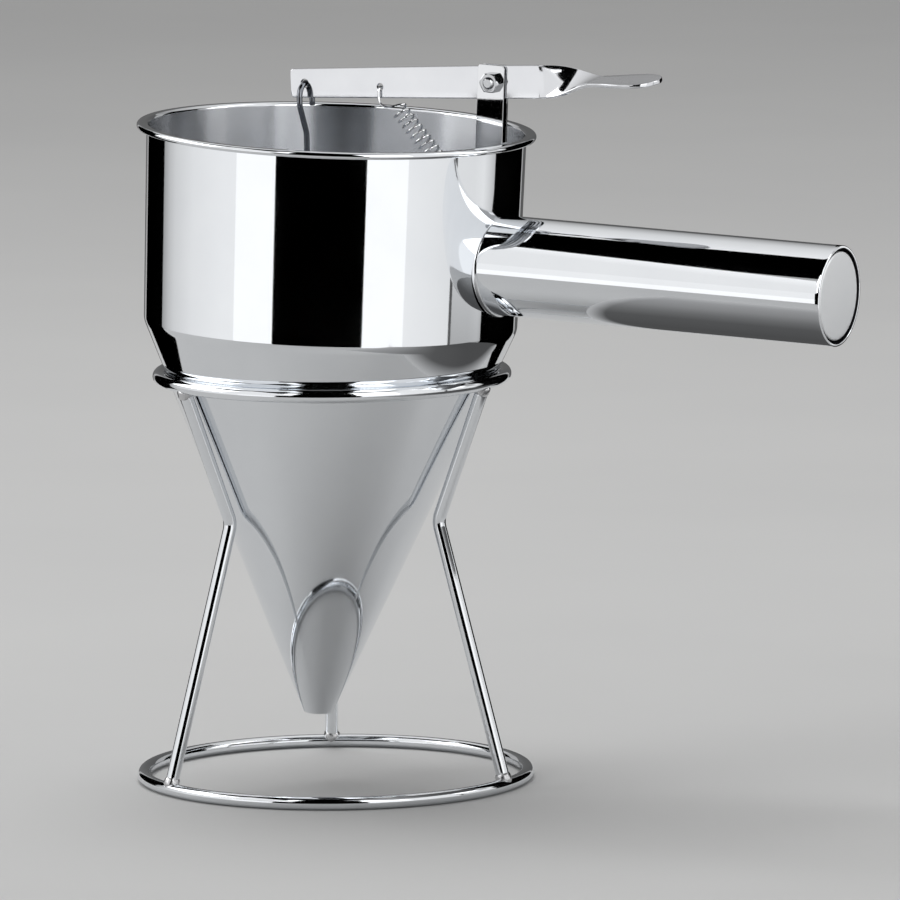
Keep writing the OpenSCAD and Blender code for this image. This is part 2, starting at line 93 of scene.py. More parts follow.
class Nodes:
    """Short way to add and link the nodes of one material."""

    def __init__(self, name):
        self.material = bpy.data.materials.new(name)
        self.material.use_nodes = True
        self.tree = self.material.node_tree
        self.shader = self.tree.nodes["Principled BSDF"]

    def add(self, kind, **values):
        """New node. A value sets a property of the node, or else the input of that name."""
        node = self.tree.nodes.new(kind)
        for key, value in values.items():
            if hasattr(node, key):
                setattr(node, key, value)
            else:
                node.inputs[key].default_value = value
        return node

    def link(self, start, end):
        self.tree.links.new(start, end)

    def noise(self, stretch, scale, detail, rough=0.55):
        place = self.add("ShaderNodeTexCoord")
        mapping = self.add("ShaderNodeMapping", Scale=stretch)
        texture = self.add("ShaderNodeTexNoise", Scale=scale, Detail=detail, Roughness=rough)
        self.link(place.outputs["Object"], mapping.inputs["Vector"])
        self.link(mapping.outputs["Vector"], texture.inputs["Vector"])
        return texture.outputs["Fac"]

    def spread(self, source, low, high):
        """Stretches the middle of a noise's range over the range from low to high."""
        node = self.add("ShaderNodeMapRange")
        for key, value in (("From Min", 0.3), ("From Max", 0.7), ("To Min", low), ("To Max", high)):
            node.inputs[key].default_value = value
        self.link(source, node.inputs["Value"])
        return node.outputs["Result"]

    def average(self, first, second):
        half = self.add("ShaderNodeMath", operation="MULTIPLY")
        half.inputs[1].default_value = 0.5
        self.link(first, half.inputs[0])
        total = self.add("ShaderNodeMath", operation="MULTIPLY_ADD")
        total.inputs[1].default_value = 0.5
        self.link(second, total.inputs[0])
        self.link(half.outputs[0], total.inputs[2])
        return total.outputs[0]

    def between(self, factor, first, second):
        node = self.add("ShaderNodeMix", data_type="RGBA")
        node.inputs["A"].default_value = (*first, 1)
        node.inputs["B"].default_value = (*second, 1)
        self.link(factor, node.inputs["Factor"])
        return node.outputs["Result"]

    def bump(self, height, strength, distance):
        node = self.add("ShaderNodeBump", Strength=strength, Distance=distance)
        self.link(height, node.inputs["Height"])
        self.link(node.outputs["Normal"], self.shader.inputs["Normal"])


def steel(name, tones, gloss, bump, scale, stretch=EVEN, metallic=1.0):
    """Metal with smudges in its colour and gloss, and a fine grain.

    tones are its darkest and lightest colour, and gloss is its lowest and highest roughness.
    """
    n = Nodes(name)
    n.shader.inputs["Metallic"].default_value = metallic
    smudges = n.noise(EVEN, SMUDGE_SCALE, 5)
    grain = n.noise(stretch, scale, 6, 0.6)
    n.link(n.between(smudges, *tones), n.shader.inputs["Base Color"])
    n.link(n.spread(n.average(smudges, grain), *gloss), n.shader.inputs["Roughness"])
    n.bump(grain, bump, GRAIN_DEPTH)
    return n.material


def brush_round(material):
    """Stretches the reflections as brushing round Z does."""
    tree = material.node_tree
    shader = tree.nodes["Principled BSDF"]
    shader.inputs["Anisotropic"].default_value = 1.0
    shader.inputs["Anisotropic Rotation"].default_value = 0.25
    tangent = tree.nodes.new("ShaderNodeTangent")
    tangent.direction_type = "RADIAL"
    tangent.axis = "Z"
    tree.links.new(tangent.outputs["Tangent"], shader.inputs["Tangent"])


COOL = (0.79, 0.81, 0.84), (0.86, 0.88, 0.90)
BRACKET_TONES = (0.74, 0.75, 0.77), (0.82, 0.83, 0.85)
BRUSHED_TONES = (0.64, 0.655, 0.68), (0.76, 0.775, 0.80)
LEVER_TONES = (0.70, 0.71, 0.74), (0.80, 0.81, 0.83)
ROD_TONES = (0.16, 0.17, 0.19), (0.26, 0.27, 0.29)
SATIN_TONES = (0.80, 0.82, 0.84), (0.90, 0.91, 0.92)
BEAD_TONES = (0.55, 0.55, 0.56), (0.74, 0.74, 0.75)
SPRING_TONES = (0.74, 0.75, 0.77), (0.86, 0.87, 0.88)
# Near-black for the groove round the handle's cap: painted shade in the recess, not the steel's own colour
GROOVE_SHADE_TONES = (0.03, 0.03, 0.035), (0.07, 0.07, 0.08)
BOLT_TONES = (0.46, 0.47, 0.49), (0.64, 0.65, 0.66)
LENGTHWISE, ROUND_Z, CROSSWISE = (1, 14, 14), (1, 1, 40), (3, 1, 9)

polished = steel("polished_steel", COOL, (0.02, 0.06), 0.010, 700)
brushed = steel("brushed_inside", BRUSHED_TONES, (0.24, 0.265), 0.004, 60, ROUND_Z)
brush_round(brushed)
polished_wire = steel("polished_wire", COOL, (0.04, 0.10), 0.025, 900)
weld_polish = steel("weld_polish", COOL, (0.08, 0.16), 0.10, 600)
bracket_finish = steel("bracket_steel", BRACKET_TONES, (0.015, 0.03), 0.004, 300, LENGTHWISE)
lever_finish = steel("lever_steel", LEVER_TONES, (0.06, 0.13), 0.02, 300, LENGTHWISE)
rod_finish = steel("rod_steel", ROD_TONES, (0.06, 0.12), 0.03, 900)
satin = steel("satin_steel", SATIN_TONES, (0.30, 0.42), 0.10, 420, CROSSWISE, 0.75)
bead_finish = steel("weld_steel", BEAD_TONES, (0.16, 0.34), 0.16, 900)
spring_finish = steel("spring_steel", SPRING_TONES, (0.06, 0.14), 0.05, 1600)
# Painted shade: near-black steel that darkens the groove between the tube's bore and the cap
groove_painted_shade = steel("groove_painted_shade_steel", GROOVE_SHADE_TONES, (0.35, 0.5), 0.05, 900)
bolt_finish = steel("bolt_steel", BOLT_TONES, (0.09, 0.20), 0.06, 1500)

# ---- Lines: lists of points ----


def arc(centre, radius, first, last, steps):
    """Points of an arc, angles in degrees, both ends included."""
    out = []
    for i in range(steps + 1):
        x, y = polar(radius, first + (last - first) * i / steps)
        out.append((centre[0] + x, centre[1] + y))
    return out


def ring(radius, height, count):
    """Points of a level circle about Z."""
    return [(*polar(radius, 360 * k / count), height) for k in range(count)]


def fine(line, step=3.0, margin=0.15):
    """The line with its long straights divided, so that shading stays true along them."""
    out = []
    for a, b in zip(line, line[1:]):
        length = math.dist(a, b)
        out.append(a)
        if length > step:
            inner = length - 2 * margin
            count = math.ceil(inner / step)
            for i in range(count + 1):
                t = (margin + inner * i / count) / length
                out.append(tuple(p + (q - p) * t for p, q in zip(a, b)))
    return out + [line[-1]]


def spaced(path, step):
    """Path in space with its long straights divided evenly."""
    out = []
    for a, b in zip(path, path[1:]):
        a, b = Vector(a), Vector(b)
        count = max(1, math.ceil((b - a).length / step))
        out += [a.lerp(b, i / count) for i in range(count)]
    return out + [Vector(path[-1])]


def bent(path, bends, steps):
    """Path in space with its inner corners rounded to the radii in bends."""
    out = [Vector(path[0])]
    for i, radius in enumerate(bends):
        before, here, after = (Vector(p) for p in path[i:i + 3])
        u, v = (before - here).normalized(), (after - here).normalized()
        half = u.angle(v) / 2
        centre = here + (u + v).normalized() * radius / math.sin(half)
        start = here + u * radius / math.tan(half) - centre
        axis = u.cross(v)
        sweep = math.pi - 2 * half
        for k in range(steps + 1):
            out.append(centre + Matrix.Rotation(-sweep * k / steps, 3, axis) @ start)
    out.append(Vector(path[-1]))
    return out


def rounded_outline(corners, radii):
    """Flat outline with its corners rounded. A radius of 0 keeps the corner."""
    out = []
    for i, (corner, radius) in enumerate(zip(corners, radii)):
        if not radius:
            out.append(corner)
            continue
        near = (corners[i - 1], corner, corners[(i + 1) % len(corners)])
        path = bent([(*p, 0) for p in near], [radius], 6)
        out += [(p.x, p.y) for p in path[1:-1]]
    return out


# ---- Shapes: a list of points and a list of faces ----

END_DOME = 0.3


def lathe(line, segments, closed=False):
    """Outline of (radius, height) turned about Z."""
    points = [(*polar(r, 360 * i / segments), z) for i in range(segments) for r, z in line]
    n = len(line)
    faces = []
    for i in range(segments):
        a, b = i * n, (i + 1) % segments * n
        for k in range(n if closed else n - 1):
            m = (k + 1) % n
            faces.append((a + k, b + k, b + m, a + m))
    return points, faces


def torus(radius, height, diameter):
    section = [(radius + x, height + z) for x, z, _ in ring(diameter / 2, 0, 28)]
    return lathe(section, 240, True)


def loft(sections, ends=True):
    """Closed sections with equal numbers of points, joined one after another."""
    n = len(sections[0])
    points = [p for section in sections for p in section]
    faces = []
    for i in range(len(sections) - 1):
        for k in range(n):
            m = (k + 1) % n
            faces.append((i * n + k, i * n + m, (i + 1) * n + m, (i + 1) * n + k))
    if ends:
        faces.append(tuple(range(n)))
        faces.append(tuple(range(len(points) - 1, len(points) - 1 - n, -1)))
    return points, faces


def wire(path, diameter, sides):
    """Round wire along a path, with slightly domed ends."""
    path = [Vector(p) for p in path]
    radius, last = diameter / 2, len(path) - 1
    ways = [(path[min(i + 1, last)] - path[max(i - 1, 0)]).normalized() for i in range(last + 1)]
    spokes = [ways[0].orthogonal().normalized()]
    for way in ways:
        spoke = spokes[-1]
        spokes.append((spoke - way * spoke.dot(way)).normalized())
    spokes = spokes[1:]
    # A domed end from its tip: the distance in from the end, and the radius there
    dome = []
    for degrees in (72, 54, 36, 18, 0):
        thick, high = polar(radius, degrees)
        dome.append((END_DOME * (radius - high), thick))
    stations = [(path[0] + ways[0] * inward, 0, r) for inward, r in dome]
    stations += [(path[i], i, radius) for i in range(1, last)]
    stations += [(path[last] - ways[last] * inward, last, r) for inward, r in reversed(dome)]
    sections = []
    for p, i, r in stations:
        s, t = spokes[i], ways[i].cross(spokes[i])
        sections.append([p + r * (x * s + y * t) for x, y, _ in ring(1, 0, sides)])
    return loft(sections)


def plate(outline, low, high, edge=0.18):
    """Flat plate along Y between low and high, from an outline of (x, z), with eased edges."""
    around = list(zip(outline[-1:] + outline[:-1], outline, outline[1:] + outline[:1]))
    area = sum(a[0] * b[1] - b[0] * a[1] for a, b, _ in around)
    hand = 1 if area > 0 else -1
    inset = []
    for a, b, c in around:
        u, v = (Vector(b) - Vector(a)).normalized(), (Vector(c) - Vector(b)).normalized()
        m = Vector((-u.y, u.x)) + Vector((-v.y, v.x))
        inset.append(m.normalized() / max(0.5, m.length / 2) * hand)
    sections = []
    for y, side, angles in ((low, 1, (90, 60, 30, 0)), (high, -1, (0, 30, 60, 90))):
        for degrees in angles:
            across, along = polar(edge, degrees)
            depth, level = edge - across, y + side * (edge - along)
            sections.append([(x + m.x * depth, level, z + m.y * depth) for (x, z), m in zip(outline, inset)])
    return loft(sections)


def moved(shape, place):
    points, faces = shape
    return [place @ Vector(p) for p in points], faces


def together(*shapes):
    points, faces = [], []
    for some, more in shapes:
        start = len(points)
        points += list(some)
        faces += [tuple(start + i for i in face) for face in more]
    return points, faces


# ---- Meshes and pieces ----


def mesh_of(name, shape, place):
    """Mesh of a shape in millimetres, set in its place."""
    points, faces = shape
    mesh = bpy.data.meshes.new(name)
    mesh.from_pydata([(place @ Vector(p)) * MM for p in points], [], faces)
    form = bmesh.new()
    form.from_mesh(mesh)
    bmesh.ops.remove_doubles(form, verts=form.verts, dist=1e-6)
    bmesh.ops.recalc_face_normals(form, faces=form.faces)
    form.to_mesh(mesh)
    form.free()
    return mesh


def finish_shading(obj, sharp, true_flats):
    """Smooth shading with edges sharp from an angle, and flat faces kept flat where asked."""
    for polygon in obj.data.polygons:
        polygon.use_smooth = True
    obj.data.set_sharp_from_angle(angle=math.radians(sharp))
    if true_flats:
        weights = obj.modifiers.new("true_flats", "WEIGHTED_NORMAL")
        weights.weight = 100
        weights.keep_sharp = True


def build(name, shape, place, material, sharp=32, true_flats=False):
    """Object of a shape, with its material and shading."""
    mesh = mesh_of(name, shape, place)
    mesh.materials.append(material)
    obj = show(name, mesh)
    finish_shading(obj, sharp, true_flats)
    return obj


def second_finish(obj, place, material, where):
    """Gives another material to the faces that pass where(middle, normal), both in the piece's own frame."""
    obj.data.materials.append(material)
    back = place.inverted() @ Matrix.Scale(1 / MM, 4)
    for face in obj.data.polygons:
        if where(back @ face.center, back.to_3x3() @ face.normal):
            face.material_index = 1


def drill(place, x, z, diameter):
    """Mesh of a round bar along Y, for a hole. It is turned a little, so that no corner meets a seam."""
    corners = [polar(diameter / 2, 7.5 * (k + 0.3)) for k in range(48)]
    bar = loft([[(x + u, y, z + v) for u, v in corners] for y in (-4, 4)])
    return mesh_of("drill", bar, place)


def cut(obj, cutters, sharp):
    """Cuts meshes out of an object, once and for all."""
    for cutter in cutters:
        tool = show("tool", cutter)
        step = obj.modifiers.new("cut", "BOOLEAN")
        step.operation = "DIFFERENCE"
        step.solver = "EXACT"
        step.object = tool
        bpy.context.view_layer.update()
        done = bpy.data.meshes.new_from_object(obj.evaluated_get(bpy.context.evaluated_depsgraph_get()))
        obj.modifiers.clear()
        obj.data = done
        bpy.data.objects.remove(tool)
    finish_shading(obj, sharp, True)


def seat(obj, body, slot, *nodes):
    """Puts a piece on the body it rides on and hides the nodes it stands for. Its slot is not used."""
    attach(obj, body)
    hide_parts(*nodes)


# ---- Stand ----

WIRE = 5.0
BASE_R, TOP_R, TOP_Z = 72.5, 65.0, 154.0
WAIST_R, WAIST_DROP, WAIST_BEND = 44.856, 53, 9.0
LEG_TURN, LEG_SHORT = -2, 1.2
BEAD, BEAD_IN, BEAD_SHRINK = 3.3, 2.5, 0.25
LUMP, RIPPLE = 0.30, 0.10

FOOT = Vector((BASE_R, 0, WIRE / 2))
WAIST = Vector((WAIST_R, 0, TOP_Z - WAIST_DROP))
HEAD = Vector((TOP_R, 0, TOP_Z))
foot_way, head_way = (WAIST - FOOT).normalized(), (WAIST - HEAD).normalized()
leg_places = [turn(LEG_TURN + 120 * number, "Z") for number in range(3)]

for name, radius, height, node in (
        ("base_ring_wire", BASE_R, WIRE / 2, "base_ring"),
        ("top_ring_wire", TOP_R, TOP_Z, "top_ring")):
    seat(build(name, torus(radius, height, WIRE), STAND, polished_wire), "stand", "polished_steel", node)

leg_line = bent([FOOT, WAIST, HEAD], [WAIST_BEND], 14)
leg_line[0] = FOOT + foot_way * LEG_SHORT
leg_line[-1] = HEAD + head_way * LEG_SHORT
leg = wire(spaced(leg_line, 4), WIRE, 28)
for number, place in enumerate(leg_places, 1):
    seat(build(f"leg_wire_{number}", leg, place, polished_wire),
         "stand", "polished_steel", f"leg_{number}")


def weld_bead(centre, along, seed):
    """Lumpy drop of weld metal, faintly rippled along the leg."""
    points, faces = lathe(arc((0, 0), BEAD, -90, 90, 14), 28)
    turned = Vector((0, 0, 1)).rotation_difference(along).to_matrix()
    out = []
    for p in points:
        p = Vector(p)
        ripple = RIPPLE * math.sin(2.1 * p.z + seed) if abs(p.z) < 3 else 0
        lump = LUMP * noise.noise(p * 0.45 + Vector((seed, 2 * seed, 0)))
        out.append(centre + turned @ (p * (1 + (lump + ripple - BEAD_SHRINK) / BEAD)))
    return out, faces


for name, joint, way, node in (
        ("foot_weld_beads", FOOT, foot_way, "foot_welds"),
        ("ring_weld_beads", HEAD, head_way, "ring_welds")):
    beads = []
    for number, place in enumerate(leg_places):
        bead = weld_bead(joint + way * BEAD_IN, way, 10.5 + 3.1 * number)
        beads.append(moved(bead, place))
    seat(build(name, together(*beads), STAND, bead_finish), "stand", "satin_steel", node)

# ---- Bowl and cone ----

SHEET = 0.8
RIM_R, FLARE_DROP = 75.0, 3.3
FLARE_R, BEAD_R, CORNER_R = 0.6, 1.2, 8.0
CONE_ANGLE = 23.6
WALL_TOP, WALL_LEAN = RIM_R - 3.7, 1.1
CORNER = (WALL_TOP - WALL_LEAN, RIM_TOP - 74.5)
SEAM = CORNER[1] - 20
OUTLET_R, OUTLET_Z = 4.5, 12.298
BRUSH_TOP = RIM_TOP - 1.3

slope = math.radians(CONE_ANGLE)
tilt = math.atan2(WALL_LEAN, RIM_TOP - FLARE_DROP - CORNER[1])
tilt_angle = math.degrees(tilt)
cone_out = Vector((math.cos(slope), -math.sin(slope)))
wall_out = Vector((math.cos(tilt), -math.sin(tilt)))
corner_centre = Vector(CORNER) - (cone_out + wall_out) * CORNER_R / (1 + cone_out.dot(wall_out))
flare_centre = Vector((WALL_TOP, RIM_TOP - FLARE_R - SHEET)) + wall_out * FLARE_R
bead_centre = (RIM_R - BEAD_R, RIM_TOP - BEAD_R)
# The flange's underside meets the bead at this angle of the bead's circle
bead_from = 180 - math.degrees(math.asin((BEAD_R - SHEET) / BEAD_R))


def on_cone(height, depth=0.0):
    """Point at this depth square under the cone's outside, from where the outside has this height."""
    return (height * math.tan(slope) - depth * math.cos(slope), height + depth * math.sin(slope))


outside = fine([on_cone(SEAM)]
               + arc(corner_centre, CORNER_R, -CONE_ANGLE, -tilt_angle, 14)
               + arc(flare_centre, FLARE_R, 180 - tilt_angle, 90, 8))
rim = arc(bead_centre, BEAD_R, bead_from, 450, 22)
inside = fine(arc(flare_centre, FLARE_R + SHEET, 90, 180 - tilt_angle, 14)
              + arc(corner_centre, CORNER_R - SHEET, -tilt_angle, -CONE_ANGLE, 14)
              + [on_cone(SEAM, SHEET)])
bowl = build("bowl_shell", lathe(outside + rim + inside, 256, True), FUNNEL, polished)
second_finish(bowl, FUNNEL, brushed, lambda p, n: p.x * n.x + p.y * n.y < 0 and p.z < BRUSH_TOP)
seat(bowl, "hopper", "polished_steel", "bowl")

# The outlet's edges are eased
cone_line = (fine([on_cone(OUTLET_Z + 0.35), on_cone(SEAM)])
             + fine([on_cone(SEAM, SHEET), (OUTLET_R + 0.10, OUTLET_Z + 0.25)])
             + [(OUTLET_R + 0.22, OUTLET_Z + 0.06), (OUTLET_R + 0.40, OUTLET_Z),
                (on_cone(OUTLET_Z)[0] - 0.16, OUTLET_Z + 0.04)])
seat(build("cone_shell", lathe(cone_line, 256, True), FUNNEL, polished),
     "hopper", "polished_steel", "cone")

# ---- Handle, drawn along Z from the funnel's axis, with X down ----

HANDLE_R, HANDLE_WALL, HANDLE_END, HANDLE_EDGE = 18.75, 1.0, 208.8, 0.5
FILLET, FILLET_SINK = 1.1, 0.3
FACE_SET_BACK, GROOVE_W, GROOVE_DEPTH = 0.4, 1.2, 11
CAP_EDGE, CAP_T, CAP_NECK, CAP_STEP, CAP_DEPTH = 0.7, 0.8, 2.6, 3.0, 8
ROUGH_ROOT, AROUND = 72, 192

bore_r = HANDLE_R - HANDLE_WALL
edge_z = HANDLE_END - HANDLE_EDGE
rise = math.radians(HANDLE_LIFT)


def wall_at(radius, angle):
    """Distance along the handle's axis at which a line on its surface is taken to meet the bowl's wall.

    Known fault: the handle's X points down, and up has its sign. So the root is cut for a wall that
    leans the other way.
    """
    up, side = polar(radius, angle)
    t = ROUGH_ROOT
    for _ in range(12):
        height = HANDLE_Z + t * math.sin(rise) + up * math.cos(rise)
        wall = CORNER[0] + (height - CORNER[1]) * math.tan(tilt)
        t = (math.sqrt(wall ** 2 - side ** 2) + up * math.sin(rise)) / math.cos(rise)
    return t


def handle_ring(radius, height_of):
    """Points round the handle's axis at a height that depends on the angle."""
    angles = [360 * k / AROUND for k in range(AROUND)]
    return [(*polar(radius, angle), height_of(angle)) for angle in angles]


rings = []
for along in [0.0, 0.15] + [3 * i for i in range(1, 46)]:
    share = along / (edge_z - ROUGH_ROOT)
    rings.append(handle_ring(HANDLE_R, lambda a: (1 - share) * wall_at(HANDLE_R, a) + share * edge_z))
for degrees in (0, 22, 45, 67, 90):
    across, along = polar(HANDLE_EDGE, degrees)
    rings.append(ring(HANDLE_R - HANDLE_EDGE + across, edge_z + along, AROUND))
for radius, depth in ((bore_r + 0.15, 0), (bore_r, 0.15), (bore_r, GROOVE_DEPTH + 1)):
    rings.append(ring(radius, HANDLE_END - depth, AROUND))
rings.append(handle_ring(bore_r, lambda a: wall_at(bore_r, a)))
rings.append(rings[0])
tube = build("handle_shell", loft(rings, False), HANDLE, polished)
# The bore's wall down in the groove gets the near-black steel: painted shade
second_finish(tube, HANDLE, groove_painted_shade,
              lambda p, n: p.z > HANDLE_END - GROOVE_DEPTH and math.hypot(p.x, p.y) < bore_r + 0.04)
seat(tube, "hopper", "polished_steel", "handle_tube")

# Fillet weld: a hollow curve from the wall to the tube, ground and polished
rings = []
for k in range(9):
    drop, inward = polar(FILLET, 90 * k / 8)
    reach = HANDLE_R + FILLET - inward
    rings.append(handle_ring(reach + 0.02, lambda a: wall_at(reach, a) + FILLET - drop))
sunk = HANDLE_R - FILLET_SINK
rings.append(handle_ring(sunk, lambda a: wall_at(HANDLE_R, a) + FILLET))
rings.append(handle_ring(sunk, lambda a: wall_at(sunk, a) + 0.02))
rings.append(rings[0])
seat(build("handle_fillet", loft(rings, False), HANDLE, weld_polish, 50),
     "hopper", "satin_steel", "handle_weld")

# Pressed disc with a turned-in edge, which leaves a groove inside the tube's rim
face_r, face_z, skirt_r = bore_r - GROOVE_W, HANDLE_END - FACE_SET_BACK, bore_r - 0.05
cap_line = ([(r, face_z) for r in (0.0, 3, 6, 9, 12, 14.5)]
            + arc((face_r - CAP_EDGE, face_z - CAP_EDGE), CAP_EDGE, 90, 0, 8)
            + [(face_r, face_z - CAP_NECK), (skirt_r, face_z - CAP_STEP), (skirt_r, face_z - CAP_DEPTH)]
            + [(skirt_r - CAP_T, face_z - CAP_DEPTH), (skirt_r - CAP_T, face_z - CAP_STEP - CAP_T)]
            + [(face_r - CAP_T, face_z - CAP_NECK - CAP_T), (face_r - CAP_T, face_z - CAP_T - 0.4)]
            + [(face_r - CAP_T - 0.4, face_z - CAP_T), (0.0, face_z - CAP_T)])
disc = build("handle_disc", lathe(cap_line, 160), HANDLE, satin)
# The cap's turned-in edge down in the groove gets the near-black steel: painted shade
second_finish(disc, HANDLE, groove_painted_shade,
              lambda p, n: p.z < face_z - CAP_EDGE and math.hypot(p.x, p.y) > face_r - 0.1)
seat(disc, "hopper", "satin_steel", "handle_cap")

# ---- Bracket, bolt and nut, in the funnel's frame ----

BRACKET_W, BRACKET_T, EAR_W, EAR_R = 4.2, 1.0, 11.0, 1.5
BACK, FOOT_Z = PIVOT.x + 4.9, RIM_TOP - 34
WEB_TOP, EAR_TOP = PIVOT.z - 7.7, PIVOT.z + 6.5
HEX_FLAT, HEAD_H, NUT_H, NUT_BORE_R = 3.5, 2.8, 3.2, 2.05
BOLT_R, ROOT_R, PITCH, THREAD_LEN = 2.0, 1.66, 0.7, 4.2

half = BRACKET_W / 2
ear = rounded_outline([(BACK - EAR_W, FOOT_Z), (BACK, FOOT_Z), (BACK, EAR_TOP), (BACK - EAR_W, EAR_TOP)],
                      [EAR_R, 0, EAR_R, EAR_R])
web_front, web_back, web_foot = BACK - BRACKET_T, BACK - 0.02, FOOT_Z + 0.05
web = [(web_front, web_foot), (web_back, web_foot), (web_back, WEB_TOP), (web_front, WEB_TOP)]
bracket = build("bracket_sheet", together(
    plate(ear, -half, -half + BRACKET_T), plate(ear, half - BRACKET_T, half),
    plate(web, -half + BRACKET_T / 2, half - BRACKET_T / 2, 0.12)), FUNNEL, bracket_finish, 32, True)
seat(bracket, "hopper", "lever_steel", "lever_bracket")


def hexagon(height, hole=0.0):
    """Hexagon on Z = 0 with its corners cut back at the outer end, bored through or slightly dished."""
    angles = [5 * k for k in range(72)]
    sides = [HEX_FLAT / math.cos(math.radians(angle % 60 - 30)) for angle in angles]
    outer = [[(r, 0.0) for r in sides],
             [(r - 0.02, height - (r - HEX_FLAT) * 0.8 - 0.12) for r in sides],
             [(r * 0.2 + HEX_FLAT * 0.75, height - 0.03) for r in sides]]
    stations = [[(*polar(r, angle), z) for angle, (r, z) in zip(angles, level)] for level in outer]
    stations.append(ring(HEX_FLAT * 0.88, height, 72))
    if hole:
        stations += [ring(hole + 0.3, height, 72), ring(hole, height - 0.35, 72), ring(hole, 0.0, 72)]
        stations.append(stations[0])
    else:
        stations.append(ring(HEX_FLAT * 0.80, height - 0.12, 72))
    return loft(stations, not hole)


# The bolt's shank is drawn from the far ear's outside. Its thread stands out past the near ear.
shank_line = [(0.0, 0.0), (BOLT_R, 0.0), (BOLT_R, BRACKET_W)]
for number in range(5):
    z = BRACKET_W + 0.1 + PITCH * number
    shank_line += [(BOLT_R, z), (BOLT_R - 0.02, z + 0.12), (ROOT_R, z + 0.35), (BOLT_R - 0.02, z + 0.58)]
bolt_end = BRACKET_W + THREAD_LEN
shank_line += [(BOLT_R - 0.05, bolt_end - 0.4), (BOLT_R - 0.45, bolt_end), (0.0, bolt_end)]
bolt_head = moved(hexagon(HEAD_H), shift(0, half, 0) @ turn(-90, "X"))
shank = moved(lathe(shank_line, 48), shift(0, half, 0) @ turn(90, "X"))
nut = moved(hexagon(NUT_H, NUT_BORE_R), shift(0, -half, 0) @ turn(90, "X"))
for name, shape, node in (
        ("bolt_body", together(bolt_head, shank), "pivot_bolt"),
        ("nut_body", nut, "pivot_nut")):
    seat(build(name, shape, BOLT, bolt_finish, 28, True), "hopper", "bolt_steel", node)

# ---- Lever, drawn along X with the pivot at the origin ----

LEVER_T, LEVER_H, NOSE_H, LEVER_EDGE, NOSE_R = 1.5, 12.4, 10.9, 0.4, 1.2
HOOK_ARM, SPRING_ARM, SPRING_LOW = 79, 47.4, 1.5
PIVOT_HOLE, HOOK_HOLE, SPRING_HOLE = 4.14, 3.4, 2.8
NOSE, TWIST_START, TWIST_END = -HOOK_ARM - 5.8, 18.4, 41.6
PAD_LEN, PAD_R, PAD_TURN = 26.5, 9.0, 82.0


def lever_section(x, half_width, angle):
    """Rounded rectangle across X, turned about X from upright towards flat."""
    half_width = max(half_width, LEVER_EDGE + 0.02)
    thick, high = LEVER_T / 2 - LEVER_EDGE, half_width - LEVER_EDGE
    out = []
    for side in (1, -1):
        out += arc((side * thick, side * high), LEVER_EDGE, 90 - 90 * side, 180 - 90 * side, 3)
        out += arc((-side * thick, side * high), LEVER_EDGE, 180 - 90 * side, 270 - 90 * side, 3)
        out += [(-side * LEVER_T / 2, share * side * high) for share in (0.5, -0.5)]
    c, s = polar(1, angle)
    return [(x, y * c + z * s, z * c - y * s) for y, z in out]


def smooth(t):
    """Eases in and out between 0 and 1."""
    return t * t * (3 - 2 * t)


sections = []
for k in range(7):
    across, along = polar(NOSE_R, 15 * k)
    sections.append(lever_section(NOSE + NOSE_R - across, NOSE_H / 2 - NOSE_R + along, 0))
for i in range(1, 29):
    x = (NOSE + NOSE_R) * (1 - i / 28)
    sections.append(lever_section(x, NOSE_H / 2 + (LEVER_H - NOSE_H) / 2 * (1 - x / NOSE), 0))
for i in range(1, 8):
    sections.append(lever_section(TWIST_START * i / 8, LEVER_H / 2, 0))
for i in range(37):
    t = i / 36
    x = TWIST_START + (TWIST_END - TWIST_START) * t
    sections.append(lever_section(x, LEVER_H / 2, PAD_TURN * (0.55 * smooth(t) + 0.45 * t)))
for i in range(1, 15):
    t = i / 14
    half_width = LEVER_H / 2 + (PAD_R - LEVER_H / 2) * smooth(t)
    sections.append(lever_section(TWIST_END + (PAD_LEN - PAD_R) * t, half_width, PAD_TURN))
for k in range(1, 19):
    across, along = polar(PAD_R, 5 * k)
    sections.append(lever_section(TWIST_END + PAD_LEN - PAD_R + along, across, PAD_TURN))
lever = build("lever_strip", loft(sections), LEVER, lever_finish, 40)
cut(lever, [drill(LEVER, 0, 0, PIVOT_HOLE), drill(LEVER, -HOOK_ARM, 0, HOOK_HOLE),
            drill(LEVER, -SPRING_ARM, -SPRING_LOW, SPRING_HOLE)], 40)
seat(lever, "lever", "lever_steel", "lever")

# ---- Plunger ----

# The middle of the lever's hook hole, in the funnel's frame
HOOK = Vector((-13.643, 0, 250.659))
ROD_D, BALL_R, BALL_ROOM = 2.2, 7.0, 0.2
HOOK_HALF, HOOK_TIP_Z, HOOK_SIDE_Z, NECK_Z = 5.2, -9, -8, -19
SOCKET_R, SOCKET_EDGE, SOCKET_Z = 1.15, 1.35, 3.5

ball_z = (BALL_R + BALL_ROOM + SHEET) / math.sin(slope)
rod_len = math.hypot(HOOK.x, HOOK.z - ball_z)
rod_lean = turn(math.degrees(math.atan2(HOOK.x, HOOK.z - ball_z)), "Y")

hook_bend = HOOK_HALF - 0.01
rod_line = bent([(0, HOOK_HALF, HOOK_TIP_Z), (0, HOOK_HALF, 0), (0, -HOOK_HALF, 0),
                 (0, -HOOK_HALF, HOOK_SIDE_Z), (0, 0, NECK_Z), (0, 0, SOCKET_Z - rod_len)],
                [hook_bend, hook_bend, 4, 4], 16)
rod_place = FUNNEL @ Matrix.Translation(HOOK) @ rod_lean
seat(build("rod_wire", wire(spaced(rod_line, 3), ROD_D, 20), rod_place, rod_finish),
     "plunger", "wire_steel", "plunger_rod")

